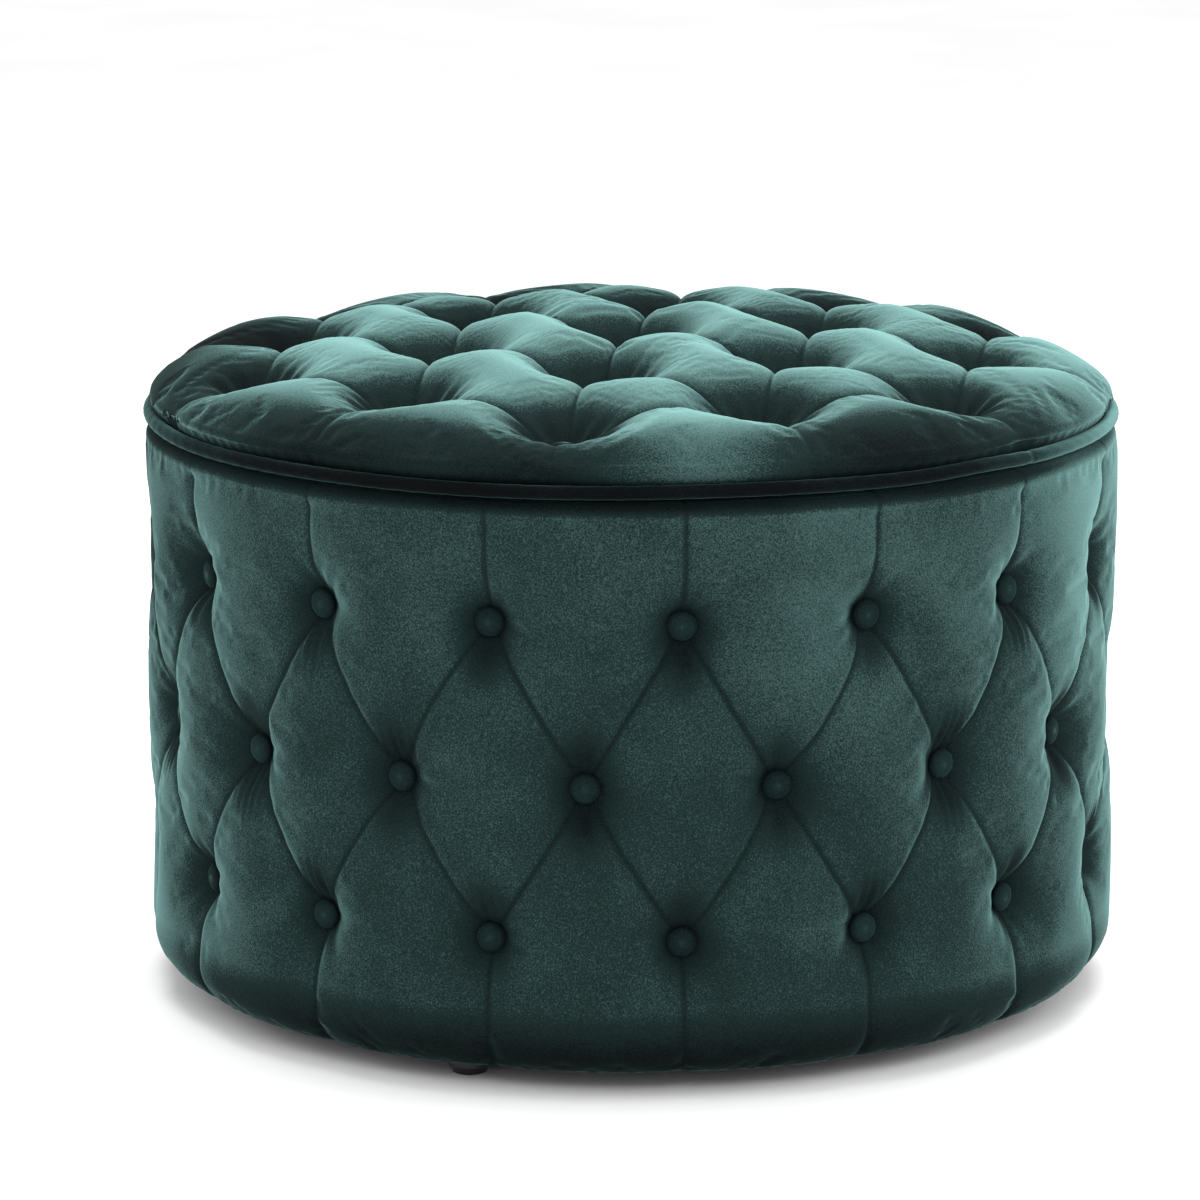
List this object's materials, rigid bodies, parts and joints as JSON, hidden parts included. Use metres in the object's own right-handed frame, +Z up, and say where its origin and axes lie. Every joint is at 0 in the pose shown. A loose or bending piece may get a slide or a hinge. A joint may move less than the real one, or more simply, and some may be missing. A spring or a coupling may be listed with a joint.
{
  "type": "storage ottoman",
  "caption": "Round drum-shaped ottoman with deep-buttoned velvet sides and a piped, buttoned padded lid that lifts off an open storage cavity.",
  "frame": {"origin": "on the floor at the centre of the drum, at the middle of the whole object's underside", "axes": "+Z up along the drum's axis; the front is towards -Y"},
  "size_m": [0.7059, 0.706, 0.4838],
  "materials": {
    "velvet": "deep green short-pile velvet with a soft sheen",
    "button_velvet": "the same velvet over button formers",
    "piping_velvet": "the same velvet cut on the bias round a cord",
    "lining_cloth": "black spun-bonded non-woven cloth",
    "wadding": "white polyester fibre",
    "foam": "pale upholstery foam",
    "cord_core": "twisted paper and cotton cord",
    "twine": "waxed upholstery twine",
    "felt": "black wool felt",
    "plywood": "birch-faced plywood, sanded",
    "softwood": "planed pine battens",
    "fibreboard": "smooth hardboard",
    "foot_plastic": "black moulded polypropylene",
    "washer_plastic": "natural moulded plastic",
    "screw_steel": "zinc-plated",
    "staple_steel": "galvanised wire"
  },
  "bodies": {
    "drum": {"base_board": "plywood", "lower_posts": "softwood", "mid_ring": "plywood", "upper_posts": "softwood", "top_ring": "plywood", "outer_shell": "fibreboard", "inner_liner": "fibreboard", "base_screws": "screw_steel", "top_ring_screws": "screw_steel", "side_foam": "foam", "side_wadding": "wadding", "side_cover": "velvet", "side_buttons": "button_velvet", "side_button_ties": "twine", "side_tie_washers": "washer_plastic", "floor_panel": "fibreboard", "lining_floor": "lining_cloth", "lining_wall": "lining_cloth", "dust_cover": "lining_cloth", "base_staples": "staple_steel", "top_staples": "staple_steel", "feet": "foot_plastic", "foot_screws": "screw_steel"},
    "lid": {"lid_board": "plywood", "lid_foam": "foam", "lid_wadding": "wadding", "lid_cover": "velvet", "lid_buttons": "button_velvet", "lid_button_ties": "twine", "lid_tie_washers": "washer_plastic", "piping_cord": "cord_core", "piping_cover": "piping_velvet", "lid_lining": "lining_cloth", "locating_ring": "plywood", "locating_ring_screws": "screw_steel", "lid_staples": "staple_steel", "felt_pads": "felt"}
  },
  "joints": [
    {"name": "lid_lift", "type": "slide", "parent": "drum", "child": "lid", "axis": [0, 0, 1], "range_m": [0, 0.25]}
  ]
}
